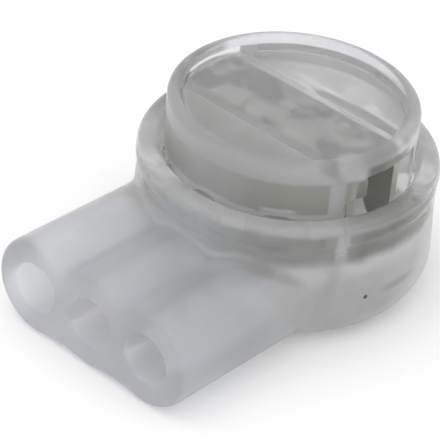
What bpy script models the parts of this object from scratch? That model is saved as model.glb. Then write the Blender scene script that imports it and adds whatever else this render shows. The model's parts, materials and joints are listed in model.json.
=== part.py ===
"""Three-wire insulation-displacement butt connector with a round press cap, not yet crimped.

Metres, +Z up. The origin is on the cup's axis at the base plane. The three wire tubes point along -Y
and stand side by side along X. The cap slides down the cup along Z, with the contact under it.
"""
import math

import bpy
import bmesh

MM = 0.001

# Wire tubes
TUBE_COUNT = 3
TUBE_PITCH = 3.35 * MM
TUBE_WALL = 1.25 * MM
TUBE_LIFT = 0.05 * MM
TUBE_END_Y = -12.7 * MM
TUBE_END_ROUNDING = 0.3 * MM
TUBE_ROOT_DROP = 0.25 * MM
TOP_VALLEY_FILLET = 0.45 * MM
BOTTOM_VALLEY_FILLET = 6.0 * MM
WIRE_BORE_RADIUS = 1.1 * MM
MOUTH_FLARE = 0.12 * MM
MOUTH_DEPTH = 1.6 * MM

# Cup: the round body under the cap
CUP_HEIGHT = 6.35 * MM
CUP_FLOOR = 1.0 * MM
CUP_WALL = 0.98 * MM
WALL_DRAFT = 0.22 * MM
BASE_ROUNDING = 1.8 * MM
COLLAR_PROUD = 0.12 * MM
COLLAR_HEIGHT = 0.9 * MM
COLLAR_ROUNDING = 0.35 * MM
BORE_LEAD_IN = 0.18 * MM
BORE_FLOOR_FILLET = 0.3 * MM

# Wire bed on the cup's floor
BED_LIP = 0.12 * MM
BED_BELOW_WIRE_AXIS = 0.35 * MM
WIRE_END_GAP = 0.7 * MM

# Cap
CAP_TRAVEL = 2.65 * MM
CAP_GAP = 0.1 * MM
CAP_DRAFT = 0.05 * MM
CAP_EDGE_ROUNDING = 0.35 * MM
RIM_WIDTH = 0.65 * MM
RECESS_DEPTH = 0.3 * MM
RECESS_FILLET = 0.12 * MM
PLATE_THICKNESS = 1.0 * MM
SKIRT_WALL = 0.62 * MM
SKIRT_BED_GAP = 0.5 * MM
WINDOW_CONTACT_GAP = 0.45 * MM
POCKET_RIB_WIDTH = 0.5 * MM
POCKET_RIB_HEIGHT = 0.7 * MM
POCKET_LIP_REACH = 0.6 * MM
POCKET_LIP_HEIGHT = 1.1 * MM
WIRE_ARCH_GAP = 0.05 * MM

# Latch legs at the corners of the cap's windows, their depth taken at the window's edge
LATCH_WIDTH = 0.7 * MM
LATCH_DEPTH = 0.58 * MM
LATCH_BED_GAP = 0.15 * MM
LATCH_FLOOR_GAP = 0.25 * MM
BARB_WIDTH = 0.5 * MM
BARB_HEIGHT = 0.6 * MM
BARB_REACH = 0.3 * MM
BARB_GAP = 0.1 * MM

# Contact: one folded strip with two slotted legs
CONTACT_WIDTH = 3.5 * MM
CONTACT_SHEET = 0.4 * MM
CONTACT_BEND = 0.6 * MM
CONTACT_GAP = 0.1 * MM
CONTACT_FLOOR_GAP = 0.35 * MM
END_TINE = 1.15 * MM
SLOT_WIDTH = 0.4 * MM
SLOT_MOUTH = 1.0 * MM
SLOT_LEAD_IN = 0.5 * MM
SLOT_ABOVE_WIRE = 0.5 * MM
TIP_CHAMFER = 0.45 * MM

# Sealing gel
GEL_GAP = 0.1 * MM

# Facets
ROUND_STEPS = 72
BORE_STEPS = 24
FILLET_STEPS = 4
SHARP_ANGLE = math.radians(35)
CUT_MARGIN = 1.0 * MM
MERGE = 0.000001

# Across: the wires set the bed and the contact, these set the latch legs, and the legs the cap and cup
TUBE_RADIUS = WIRE_BORE_RADIUS + TUBE_WALL
MOUTH_RADIUS = WIRE_BORE_RADIUS + MOUTH_FLARE
TUBE_CENTRES = [TUBE_PITCH * (i - (TUBE_COUNT - 1) / 2) for i in range(TUBE_COUNT)]
BED_HALF_WIDTH = TUBE_CENTRES[-1] + WIRE_BORE_RADIUS + BED_LIP
CONTACT_LENGTH = 2 * (TUBE_CENTRES[-1] + SLOT_MOUTH / 2 + END_TINE)
LEG_CENTRE_Y = (CONTACT_WIDTH - CONTACT_SHEET) / 2
LATCH_X = BED_HALF_WIDTH + LATCH_BED_GAP
WINDOW_EDGE = CONTACT_WIDTH / 2 + WINDOW_CONTACT_GAP
SKIRT_RADIUS = math.hypot(LATCH_X + LATCH_DEPTH, WINDOW_EDGE)
SKIRT_INNER = SKIRT_RADIUS - SKIRT_WALL
CAP_RADIUS = SKIRT_RADIUS + CAP_DRAFT
RECESS_RADIUS = CAP_RADIUS - RIM_WIDTH
BARB_TIP = SKIRT_RADIUS + BARB_REACH
BORE_RADIUS = CAP_RADIUS + CAP_GAP
WALL_TOP_RADIUS = BORE_RADIUS + CUP_WALL
WALL_FOOT_RADIUS = WALL_TOP_RADIUS + WALL_DRAFT
COLLAR_RADIUS = WALL_TOP_RADIUS + COLLAR_PROUD

# Heights, with the cap up: what comes down with it stops just above what it meets when pressed
WIRE_AXIS = TUBE_LIFT + TUBE_RADIUS
BED_TOP = WIRE_AXIS - BED_BELOW_WIRE_AXIS
CAP_TOP = CUP_HEIGHT + CAP_TRAVEL
PLATE_UNDERSIDE = CAP_TOP - PLATE_THICKNESS
SKIRT_BOTTOM = BED_TOP + SKIRT_BED_GAP + CAP_TRAVEL
LATCH_BOTTOM = CUP_FLOOR + LATCH_FLOOR_GAP + CAP_TRAVEL
CONTACT_TIP = CUP_FLOOR + CONTACT_FLOOR_GAP + CAP_TRAVEL
CONTACT_TOP = PLATE_UNDERSIDE - CONTACT_GAP
SLOT_TOP = WIRE_AXIS + CAP_TRAVEL + SLOT_ABOVE_WIRE

COLOURS = {
    "milky_polypropylene": ((0.60, 0.61, 0.63, 1.0), 0.32, 0.0),
    "clear_polypropylene": ((0.66, 0.67, 0.69, 1.0), 0.25, 0.0),
    "tinned_metal": ((0.42, 0.42, 0.39, 1.0), 0.38, 1.0),
    "sealing_gel": ((0.70, 0.71, 0.70, 1.0), 0.15, 0.0),
}


def clear_scene():
    for obj in list(bpy.data.objects):
        bpy.data.objects.remove(obj, do_unlink=True)


def new_collection(name):
    collection = bpy.data.collections.new(name)
    bpy.context.scene.collection.children.link(collection)
    return collection


def material(name):
    colour, roughness, metallic = COLOURS[name]
    mat = bpy.data.materials.new(name)
    mat.use_nodes = True
    shader = mat.node_tree.nodes["Principled BSDF"]
    shader.inputs["Base Color"].default_value = colour
    shader.inputs["Roughness"].default_value = roughness
    shader.inputs["Metallic"].default_value = metallic
    mat.diffuse_color = colour
    return mat


def arc(centre, radius, start, end, steps=FILLET_STEPS):
    """Points on a circle from angle start to angle end, in degrees."""
    points = []
    for i in range(steps + 1):
        angle = math.radians(start + (end - start) * i / steps)
        points.append((centre[0] + radius * math.cos(angle), centre[1] + radius * math.sin(angle)))
    return points


def mesh_object(name, mesh, collection):
    obj = bpy.data.objects.new(name, mesh)
    collection.objects.link(obj)
    return obj


def turned(name, profile, collection, steps=ROUND_STEPS):
    """Turns a profile of (radius, height) points about the object's Z axis."""
    mesh = bpy.data.meshes.new(name)
    points = [(radius, 0.0, height) for radius, height in profile]
    mesh.from_pydata(points, [(i, i + 1) for i in range(len(points) - 1)], [])
    obj = mesh_object(name, mesh, collection)
    screw = obj.modifiers.new("Turn", "SCREW")
    screw.axis = "Z"
    screw.steps = steps
    screw.render_steps = steps
    screw.use_merge_vertices = True
    screw.merge_threshold = MERGE
    return obj


def plate(name, outline, thickness, collection, rounding=0.0):
    """A flat outline in the object's XY plane, thickened about that plane, as a mesh."""
    curve = bpy.data.curves.new(name, "CURVE")
    curve.dimensions = "2D"
    curve.fill_mode = "BOTH"
    curve.extrude = thickness / 2 - rounding
    curve.bevel_depth = rounding
    curve.bevel_resolution = 2
    curve.offset = -rounding
    spline = curve.splines.new("POLY")
    spline.points.add(len(outline) - 1)
    for point, (x, y) in zip(spline.points, outline):
        point.co = (x, y, 0.0, 1.0)
    spline.use_cyclic_u = True
    drawn = bpy.data.objects.new(name, curve)
    collection.objects.link(drawn)
    bpy.context.view_layer.update()
    depsgraph = bpy.context.evaluated_depsgraph_get()
    mesh = bpy.data.meshes.new_from_object(drawn.evaluated_get(depsgraph))
    bpy.data.objects.remove(drawn, do_unlink=True)
    shape = bmesh.new()
    shape.from_mesh(mesh)
    bmesh.ops.remove_doubles(shape, verts=shape.verts, dist=MERGE)
    shape.to_mesh(mesh)
    shape.free()
    mesh.shade_smooth()
    mesh.set_sharp_from_angle(angle=SHARP_ANGLE)
    return mesh_object(name, mesh, collection)


def block(name, size, centre, collection, turn=0.0):
    """A box of the given size about its centre, turned about Z."""
    mesh = bpy.data.meshes.new(name)
    shape = bmesh.new()
    bmesh.ops.create_cube(shape, size=1.0)
    bmesh.ops.scale(shape, vec=size, verts=shape.verts)
    shape.to_mesh(mesh)
    shape.free()
    obj = mesh_object(name, mesh, collection)
    obj.location = centre
    obj.rotation_euler = (0.0, 0.0, turn)
    return obj


def combine(obj, tool, operation):
    """Adds a Boolean to obj and keeps the tool as a hidden construction shape."""
    tool.hide_render = True
    tool.display_type = "WIRE"
    boolean = obj.modifiers.new(f"{operation.title()} {tool.name}", "BOOLEAN")
    boolean.operation = operation
    boolean.solver = "EXACT"
    boolean.object = tool


def cup_profile():
    """The cup's outside as a solid: over the top, down the collar and wall, round the base."""
    edge = (COLLAR_RADIUS - COLLAR_ROUNDING, CUP_HEIGHT - COLLAR_ROUNDING)
    foot = (WALL_FOOT_RADIUS - BASE_ROUNDING, BASE_ROUNDING)
    collar_foot = CUP_HEIGHT - COLLAR_HEIGHT
    profile = [(0.0, CUP_HEIGHT)]
    profile += arc(edge, COLLAR_ROUNDING, 90, 0)
    profile += [(COLLAR_RADIUS, collar_foot), (WALL_TOP_RADIUS, collar_foot - COLLAR_PROUD)]
    profile += arc(foot, BASE_ROUNDING, 0, -90, 2 * FILLET_STEPS)
    profile += [(0.0, 0.0)]
    return profile


def bore_profile():
    """The cup's inside, with a lead-in for the cap and a fillet at the floor."""
    fillet = (BORE_RADIUS - BORE_FLOOR_FILLET, CUP_FLOOR + BORE_FLOOR_FILLET)
    mouth = BORE_RADIUS + BORE_LEAD_IN
    top = CUP_HEIGHT + CUT_MARGIN
    profile = [(0.0, top), (mouth, top), (mouth, CUP_HEIGHT), (BORE_RADIUS, CUP_HEIGHT - BORE_LEAD_IN)]
    profile += arc(fillet, BORE_FLOOR_FILLET, 0, -90)
    profile += [(0.0, CUP_FLOOR)]
    return profile


def valley_angle(radius):
    """Half the angle, in degrees, that a fillet of this radius takes up between two tubes."""
    return math.degrees(math.asin(TUBE_PITCH / 2 / (TUBE_RADIUS + radius)))


def valley(x, radius, side):
    """The fillet in the groove between two tubes, above (side 1) or below (side -1) the wires' axes."""
    height = math.sqrt((TUBE_RADIUS + radius) ** 2 - (TUBE_PITCH / 2) ** 2)
    half = valley_angle(radius)
    return arc((x, WIRE_AXIS + side * height), radius, -side * 90 + half, -side * 90 - half)[1:-1]


def tube_outline():
    """The tubes seen from their open end as one outline: up the right side, back along the underside."""
    grooves = [x + TUBE_PITCH / 2 for x in TUBE_CENTRES[:-1]]
    above = valley_angle(TOP_VALLEY_FILLET)
    below = valley_angle(BOTTOM_VALLEY_FILLET)
    right = (TUBE_CENTRES[-1], WIRE_AXIS)
    left = (TUBE_CENTRES[0], WIRE_AXIS)
    outline = arc(right, TUBE_RADIUS, -90 - below, 90 + above, BORE_STEPS)
    for i in range(len(grooves) - 1, -1, -1):
        outline += valley(grooves[i], TOP_VALLEY_FILLET, 1)
        if i > 0:
            centre = (TUBE_CENTRES[i], WIRE_AXIS)
            outline += arc(centre, TUBE_RADIUS, 90 - above, 90 + above, 2 * FILLET_STEPS)
    outline += arc(left, TUBE_RADIUS, 90 - above, 270 + below, BORE_STEPS)
    for i, x in enumerate(grooves):
        outline += valley(x, BOTTOM_VALLEY_FILLET, -1)
        if i + 1 < len(grooves):
            outline += arc((TUBE_CENTRES[i + 1], WIRE_AXIS), TUBE_RADIUS, -90 - below, -90 + below)
    return outline


def tube_block(collection):
    """The tubes run from their open ends into the cup's wall, where they are a little lower."""
    half_width = TUBE_CENTRES[-1] + TUBE_RADIUS
    inner_y = -math.sqrt(WALL_TOP_RADIUS ** 2 - half_width ** 2)
    length = inner_y - TUBE_END_Y
    tubes = plate("tube_block", tube_outline(), length, collection, TUBE_END_ROUNDING)
    root_height = 1 - TUBE_ROOT_DROP / (2 * TUBE_RADIUS)
    for vert in tubes.data.vertices:
        if vert.co.z < 0.0:
            vert.co.y = TUBE_LIFT + (vert.co.y - TUBE_LIFT) * root_height
    tubes.rotation_euler = (math.pi / 2, 0.0, 0.0)
    tubes.location = (0.0, TUBE_END_Y + length / 2, 0.0)
    return tubes


def chord_disc(radius, half_width):
    """A disc's outline with its two sides cut off at x = +-half_width."""
    start = math.degrees(math.acos(half_width / radius))
    return arc((0, 0), radius, start, 180 - start, 12) + arc((0, 0), radius, 180 + start, 360 - start, 12)


def wire_bore(x, collection):
    """A wire's way from the tube's flared mouth to its end stop past the contact."""
    end = BORE_RADIUS - WIRE_END_GAP
    far_y = math.sqrt(end ** 2 - x ** 2)
    length = far_y - TUBE_END_Y
    profile = [
        (0.0, length + CUT_MARGIN),
        (MOUTH_RADIUS, length + CUT_MARGIN),
        (MOUTH_RADIUS, length),
        (WIRE_BORE_RADIUS, length - MOUTH_DEPTH),
        (WIRE_BORE_RADIUS, 0.0),
        (0.0, 0.0),
    ]
    bore = turned("wire_bore", profile, collection, BORE_STEPS)
    bore.rotation_euler = (math.pi / 2, 0.0, 0.0)
    bore.location = (x, far_y, WIRE_AXIS)
    return bore


def latch_angles():
    """Directions of the four latch legs about the cup's axis."""
    turn = math.asin((WINDOW_EDGE + LATCH_WIDTH / 2) / SKIRT_RADIUS)
    return [turn, -turn, math.pi + turn, math.pi - turn]


def radial_block(name, inner, outer, width, bottom, top, angle, collection):
    """A box that reaches from one radius to another along a direction about the cup's axis."""
    middle = (inner + outer) / 2
    centre = (middle * math.cos(angle), middle * math.sin(angle), (bottom + top) / 2)
    return block(name, (outer - inner, width, top - bottom), centre, collection, angle)


def build_housing(parts, tools):
    housing = turned("housing", cup_profile(), parts)
    combine(housing, tube_block(tools), "UNION")
    combine(housing, turned("cup_bore", bore_profile(), tools), "DIFFERENCE")

    wall_middle = (BORE_RADIUS + WALL_TOP_RADIUS) / 2
    bed_height = BED_TOP - CUP_FLOOR / 2
    bed = plate("wire_bed", chord_disc(wall_middle, BED_HALF_WIDTH), bed_height, tools)
    bed.location.z = CUP_FLOOR / 2 + bed_height / 2
    combine(housing, bed, "UNION")
    for x in TUBE_CENTRES:
        combine(housing, wire_bore(x, tools), "DIFFERENCE")

    slot_width = CONTACT_SHEET + 3 * CONTACT_GAP
    slot_height = BED_TOP + CUT_MARGIN - CUP_FLOOR
    for side in (-1, 1):
        size = (2 * BED_HALF_WIDTH + CUT_MARGIN, slot_width, slot_height)
        centre = (0.0, side * LEG_CENTRE_Y, CUP_FLOOR + slot_height / 2)
        combine(housing, block("contact_slot", size, centre, tools), "DIFFERENCE")

    low = LATCH_BOTTOM - CAP_TRAVEL - BARB_GAP
    high = LATCH_BOTTOM + BARB_HEIGHT + BARB_GAP
    for angle in latch_angles():
        guide = radial_block("latch_guide", BORE_RADIUS - BARB_REACH, BARB_TIP + BARB_GAP,
                             BARB_WIDTH + 2 * BARB_GAP, low, high, angle, tools)
        combine(housing, guide, "DIFFERENCE")
    housing.data.materials.append(material("milky_polypropylene"))
    return housing


def cap_profile():
    """The cap's sunk top, rounded edge, skirt and plate, as one turned section."""
    edge = (CAP_RADIUS - CAP_EDGE_ROUNDING, CAP_TOP - CAP_EDGE_ROUNDING)
    sunk = CAP_TOP - RECESS_DEPTH
    root = (RECESS_RADIUS - RECESS_FILLET, sunk + RECESS_FILLET)
    profile = [(0.0, sunk)]
    profile += arc(root, RECESS_FILLET, -90, 0, 2)
    profile += [(RECESS_RADIUS + RECESS_FILLET / 2, CAP_TOP)]
    profile += arc(edge, CAP_EDGE_ROUNDING, 90, 0)
    profile += [
        (SKIRT_RADIUS, SKIRT_BOTTOM),
        (SKIRT_INNER, SKIRT_BOTTOM),
        (SKIRT_INNER, PLATE_UNDERSIDE),
        (0.0, PLATE_UNDERSIDE),
    ]
    return profile


def window_post(name, side, inner_x, near, far, bottom, collection):
    """A post that hangs from the plate at a window, flush with the skirt and flat on its inner side."""
    start = math.degrees(math.asin(near / SKIRT_RADIUS))
    end = math.degrees(math.asin(far / SKIRT_RADIUS))
    outline = [(inner_x, far), (inner_x, near)] + arc((0, 0), SKIRT_RADIUS, start, end, 2)
    outline = [(side * x, y) for x, y in outline]
    top = PLATE_UNDERSIDE + PLATE_THICKNESS / 3
    post = plate(name, outline, top - bottom, collection)
    post.location.z = (top + bottom) / 2
    return post


def latch_barb(angle, collection):
    """The wedge on a leg's foot that catches the top of its guide in the cup."""
    outline = [
        (SKIRT_RADIUS - LATCH_DEPTH / 2, LATCH_BOTTOM + BARB_HEIGHT / 8),
        (SKIRT_RADIUS - LATCH_DEPTH / 8, LATCH_BOTTOM + BARB_HEIGHT / 8),
        (BARB_TIP, LATCH_BOTTOM + BARB_HEIGHT * 3 / 4),
        (BARB_TIP, LATCH_BOTTOM + BARB_HEIGHT),
        (SKIRT_RADIUS - LATCH_DEPTH / 2, LATCH_BOTTOM + BARB_HEIGHT),
    ]
    barb = plate("latch_barb", outline, BARB_WIDTH, collection)
    barb.rotation_euler = (math.pi / 2, 0.0, angle)
    return barb


def build_cap(parts, tools):
    cap = turned("cap", cap_profile(), parts)

    window_bottom = SKIRT_BOTTOM - CUT_MARGIN
    window_inner = SKIRT_INNER - CUT_MARGIN
    for angle in (0.0, math.pi):
        window = radial_block("window", window_inner, CAP_RADIUS + CUT_MARGIN, 2 * WINDOW_EDGE,
                              window_bottom, PLATE_UNDERSIDE, angle, tools)
        combine(cap, window, "DIFFERENCE")

    pocket_y = CONTACT_WIDTH / 2 + CONTACT_GAP
    reach = math.sqrt((SKIRT_INNER + SKIRT_WALL / 2) ** 2 - (pocket_y + POCKET_RIB_WIDTH) ** 2)
    rib_height = POCKET_RIB_HEIGHT + PLATE_THICKNESS / 3
    rib_middle = PLATE_UNDERSIDE - POCKET_RIB_HEIGHT + rib_height / 2
    for side in (-1, 1):
        size = (2 * reach, POCKET_RIB_WIDTH, rib_height)
        centre = (0.0, side * (pocket_y + POCKET_RIB_WIDTH / 2), rib_middle)
        combine(cap, block("pocket_rib", size, centre, tools), "UNION")

    leg_ends = (WINDOW_EDGE, WINDOW_EDGE + LATCH_WIDTH)
    lip_ends = (-WINDOW_EDGE - LATCH_WIDTH / 2, POCKET_LIP_REACH - pocket_y)
    lip_x = CONTACT_LENGTH / 2 + CONTACT_GAP
    lip_bottom = PLATE_UNDERSIDE - POCKET_LIP_HEIGHT
    for side in (-1, 1):
        for end in (-1, 1):
            near, far = (end * y for y in leg_ends)
            leg = window_post("latch_leg", side, LATCH_X, near, far, LATCH_BOTTOM, tools)
            combine(cap, leg, "UNION")
        lip = window_post("pocket_lip", side, lip_x, *lip_ends, lip_bottom, tools)
        combine(cap, lip, "UNION")
    for angle in latch_angles():
        combine(cap, latch_barb(angle, tools), "UNION")

    arch_radius = WIRE_BORE_RADIUS + WIRE_ARCH_GAP
    arch_length = 2 * (CAP_RADIUS + CUT_MARGIN)
    for x in TUBE_CENTRES:
        profile = [(0.0, arch_length), (arch_radius, arch_length), (arch_radius, 0.0), (0.0, 0.0)]
        arch = turned("wire_arch", profile, tools, BORE_STEPS)
        arch.rotation_euler = (math.pi / 2, 0.0, 0.0)
        arch.location = (x, arch_length / 2, WIRE_AXIS + CAP_TRAVEL)
        combine(cap, arch, "DIFFERENCE")
    cap.data.materials.append(material("clear_polypropylene"))
    return cap


def slot_outline(x):
    """A wire slot in the contact's legs: a wide mouth, a lead-in and a round-ended slot."""
    half = SLOT_WIDTH / 2
    mouth = SLOT_MOUTH / 2
    outline = [(x - mouth, CONTACT_TIP - CUT_MARGIN), (x + mouth, CONTACT_TIP - CUT_MARGIN)]
    outline += [(x + mouth, CONTACT_TIP), (x + half, CONTACT_TIP + SLOT_LEAD_IN)]
    outline += arc((x, SLOT_TOP - half), half, 0, 180, 6)
    outline += [(x - half, CONTACT_TIP + SLOT_LEAD_IN), (x - mouth, CONTACT_TIP)]
    return outline


def tip_corner(side):
    """The corner cut off at each end of the contact's legs."""
    end = CONTACT_LENGTH / 2
    outline = [
        (end - TIP_CHAMFER - CUT_MARGIN, CONTACT_TIP - CUT_MARGIN),
        (end + CUT_MARGIN, CONTACT_TIP - CUT_MARGIN),
        (end + CUT_MARGIN, CONTACT_TIP + TIP_CHAMFER + CUT_MARGIN),
    ]
    return [(side * x, z) for x, z in outline]


def build_contact(parts, tools):
    half = CONTACT_WIDTH / 2
    bend = (half - CONTACT_BEND, CONTACT_TOP - CONTACT_BEND)
    right = [(half, CONTACT_TIP)] + arc(bend, CONTACT_BEND, 0, 90)
    section = right + [(-y, z) for y, z in reversed(right)]

    mesh = bpy.data.meshes.new("contact_element")
    shape = bmesh.new()
    line = [shape.verts.new((-CONTACT_LENGTH / 2, y, z)) for y, z in section]
    edges = [shape.edges.new(pair) for pair in zip(line, line[1:])]
    swept = bmesh.ops.extrude_edge_only(shape, edges=edges)
    moved = [item for item in swept["geom"] if isinstance(item, bmesh.types.BMVert)]
    bmesh.ops.translate(shape, vec=(CONTACT_LENGTH, 0.0, 0.0), verts=moved)
    bmesh.ops.recalc_face_normals(shape, faces=shape.faces)
    shape.faces.ensure_lookup_table()
    if max(shape.faces, key=lambda face: face.calc_center_median().z).normal.z < 0:
        bmesh.ops.reverse_faces(shape, faces=shape.faces)
    shape.to_mesh(mesh)
    shape.free()
    contact = mesh_object("contact_element", mesh, parts)
    sheet = contact.modifiers.new("Sheet", "SOLIDIFY")
    sheet.thickness = CONTACT_SHEET
    sheet.offset = -1.0
    sheet.use_even_offset = True

    outlines = [slot_outline(x) for x in TUBE_CENTRES] + [tip_corner(side) for side in (-1, 1)]
    for outline in outlines:
        cut = plate("contact_cut", outline, CONTACT_WIDTH + CUT_MARGIN, tools)
        cut.rotation_euler = (math.pi / 2, 0.0, 0.0)
        combine(contact, cut, "DIFFERENCE")
    contact.data.materials.append(material("tinned_metal"))
    return contact


def build_gel(parts, tools):
    radius = BORE_RADIUS - GEL_GAP
    top = LATCH_BOTTOM - GEL_GAP
    bottom = CUP_FLOOR + GEL_GAP
    profile = [
        (0.0, top),
        (radius, top),
        (radius, bottom + BORE_FLOOR_FILLET),
        (radius - BORE_FLOOR_FILLET, bottom),
        (0.0, bottom),
    ]
    gel = turned("sealing_gel", profile, parts)
    cut_height = BED_TOP + GEL_GAP
    over_bed = plate("gel_over_bed", chord_disc(BORE_RADIUS + CUT_MARGIN, BED_HALF_WIDTH + GEL_GAP),
                     cut_height, tools)
    over_bed.location.z = cut_height / 2
    combine(gel, over_bed, "DIFFERENCE")
    gel.data.materials.append(material("sealing_gel"))
    return gel


def main():
    clear_scene()
    parts = new_collection("wire_connector")
    tools = new_collection("construction_shapes")
    build_housing(parts, tools)
    cap = build_cap(parts, tools)
    contact = build_contact(parts, tools)
    contact.parent = cap
    build_gel(parts, tools)


main()
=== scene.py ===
"""Looks of the three-wire butt connector: milky mouldings, a tinned contact, sealing gel and the studio.

The frame gives the outer sizes of each piece. The settings below hold the wall thicknesses, gaps and
roundings that the frame's boxes can't say, and the colours and finishes.
"""

import json
import math

import bmesh
import bpy
from bpy.props import FloatProperty, FloatVectorProperty, IntProperty, PointerProperty
from mathutils import Matrix, Vector


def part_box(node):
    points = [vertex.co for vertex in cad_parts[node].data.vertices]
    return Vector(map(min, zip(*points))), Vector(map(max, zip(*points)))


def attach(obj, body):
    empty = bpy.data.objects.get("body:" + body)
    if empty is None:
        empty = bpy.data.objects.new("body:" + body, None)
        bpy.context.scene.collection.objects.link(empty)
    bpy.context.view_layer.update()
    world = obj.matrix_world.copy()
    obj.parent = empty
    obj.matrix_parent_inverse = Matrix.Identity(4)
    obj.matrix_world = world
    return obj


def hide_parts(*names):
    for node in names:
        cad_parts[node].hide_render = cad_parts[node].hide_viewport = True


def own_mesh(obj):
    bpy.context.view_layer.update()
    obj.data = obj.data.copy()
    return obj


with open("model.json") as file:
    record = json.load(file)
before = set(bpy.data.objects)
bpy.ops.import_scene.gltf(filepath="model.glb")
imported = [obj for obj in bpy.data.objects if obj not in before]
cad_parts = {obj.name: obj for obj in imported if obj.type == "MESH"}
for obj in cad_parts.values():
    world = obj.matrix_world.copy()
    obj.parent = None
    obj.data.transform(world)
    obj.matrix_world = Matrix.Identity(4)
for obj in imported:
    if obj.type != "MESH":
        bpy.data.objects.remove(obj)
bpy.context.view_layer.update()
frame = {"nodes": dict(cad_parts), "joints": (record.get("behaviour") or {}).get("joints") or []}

bl_info = {
    "name": "Wire Connector Looks",
    "version": (1, 0, 0),
    "blender": (4, 5, 0),
    "location": "3D View > Sidebar > Connector",
    "description": "Builds the visible mouldings, contact, gel and studio of a three-wire butt connector",
    "category": "Add Mesh",
}

MM = 0.001
HOUSING_LOW, HOUSING_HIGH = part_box("housing")
CAP_LOW, CAP_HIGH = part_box("cap")
CONTACT_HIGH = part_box("contact_element")[1]
GEL_LOW, GEL_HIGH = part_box("sealing_gel")
CAP_TRAVEL = frame["joints"][0]["range_m"][1]

CUT_PAST = 1.0 * MM  # how far a cutter runs past the face that it opens
WELD = 1e-6  # points nearer than this, in metres, become one
FLAT = (1.0, 1.0, 0.0)  # leaves the height out of a distance from the cup's axis
COLOUR_RESULT = 2  # which of a Mix node's outputs holds the colour
NOISE_RANGE = (0.3, 0.7)  # most of a noise field lies between these
PATCH_RANGE = (0.45, 0.56)  # the noise between which the contact's dark patches end


def fade_below(top, start, end):
    """The heights between which one look gives way to the next, given in millimetres below a top."""
    return (top - start * MM, top - end * MM)


TUBE_FADE = (HOUSING_LOW.y + 5.2 * MM, HOUSING_LOW.y + 7.2 * MM)  # along Y, from the tubes to the cup
SHADE_FOOT = fade_below(HOUSING_HIGH.z, 2.05, 1.5)  # up into the shade under the cup's edge
SHADE_FOOT_WAVE = 0.3 * MM
SHADE_HEAD = fade_below(HOUSING_HIGH.z, 0.45, 0.2)  # up out of it
SHADE_HEAD_WAVE = 0.05 * MM
EDGE_FADE = fade_below(HOUSING_HIGH.z, 0.35, 0.15)  # up to the cup's thick edge, which is painted lighter, painted light
FROST_FADE = fade_below(HOUSING_HIGH.z, 1.5, 1.4)  # the wall is rougher below it
RIM_FADE = fade_below(CAP_HIGH.z, 1.1, 0.95)  # from the cap's skirt up to its rim
RIM_RADIUS = 5.3 * MM  # from here outwards the rim is painted lighter, painted light for its thicker plastic
RIM_BLUR = 0.2 * MM
LOW_RIM_FADE = fade_below(CAP_HIGH.z, 0.6, 0.4)  # up out of the contact's shade on the rim
SUNK_TOP_FADE = fade_below(CAP_HIGH.z, 0.7, 0.6)  # the sunk top is smoother above it
SUNK_TOP_RADIUS = 5.2 * MM
SUNK_TOP_BLUR = 0.02 * MM
CONTACT_LEG_FADE = fade_below(CONTACT_HIGH.z, 0.5, 0.2)  # from the contact's legs, painted lighter as painted light, up to its top

# A sector is a turn from X about the cup's axis, half the sector's width and its blur, in degrees.
SHADE_SECTOR = (0.0, 65.0, 30.0)  # the shade under the cup's edge
EDGE_SHADE_SECTOR = (0.0, 20.0, 20.0)  # the shade on the edge itself
WINDOW_SHADE_SECTOR = (0.0, 22.0, 6.0)  # painted shade where the contact's end lies behind the cup's wall
POST_LIGHT_SECTOR = (28.0, 2.2, 1.6)  # painted light: a pale band where the latch leg stands behind the cup's wall
METAL_SHADE_SECTOR = (30.0, 40.0, 30.0)  # painted shade where the contact lies behind the cap's skirt
LEG_LIGHT_SECTOR = (28.0, 3.6, 1.0)  # painted light: a pale band where the latch leg fills the skirt
CONTACT_END_SHADE_SECTOR = (0.0, 14.0, 5.0)  # painted shade on the cap's rim over the contact's end

# The painted glints on the cap's skirt, white streaks painted where gel would catch the light: each one's
# turn in degrees and its height above the cup's edge.
GLINT_STREAKS = [(-54.0, 0.15 * MM), (-85.0, 0.05 * MM)]
GLINT_SPAN = (7.0, 4.0)  # half a streak's width and its blur, in degrees
GLINT_RISE = 0.1 * MM  # half a streak's height
GLINT_BLUR = 0.06 * MM

# A long dark mark and a small dark speck on the cup's wall, darker than the tint round them.
DARK_MARK_PLACE = (6.95 * MM, 0.05 * MM, 2.45 * MM)
DARK_MARK_REACH = 0.22 * MM
DARK_MARK_BLUR = 0.2 * MM
DARK_MARK_SQUEEZE = (1.0, 0.22, 1.0)  # makes the dark mark long along Y
SPECK_PLACE = (6.78 * MM, -1.94 * MM, 2.4 * MM)
SPECK_REACH = 0.11 * MM
SPECK_BLUR = 0.04 * MM


def length(name, description, millimetres):
    """A size in metres that a user can change."""
    return FloatProperty(
        name=name, description=description, default=millimetres * MM, unit="LENGTH", precision=5
    )


def colour(name, description, red, green, blue):
    """A colour that a user can change."""
    return FloatVectorProperty(
        name=name, description=description, default=(red, green, blue), subtype="COLOR", min=0.0, max=1.0
    )


def share(name, description, value):
    """A number from 0 to 1 that a user can change."""
    return FloatProperty(
        name=name, description=description, default=value, subtype="FACTOR", min=0.0, max=1.0
    )


def number(name, description, value):
    """A plain number that a user can change."""
    return FloatProperty(name=name, description=description, default=value, precision=3)


def bearing(name, description, degrees):
    """An angle that a user can change."""
    return FloatProperty(
        name=name, description=description, default=math.radians(degrees), subtype="ANGLE"
    )


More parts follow.
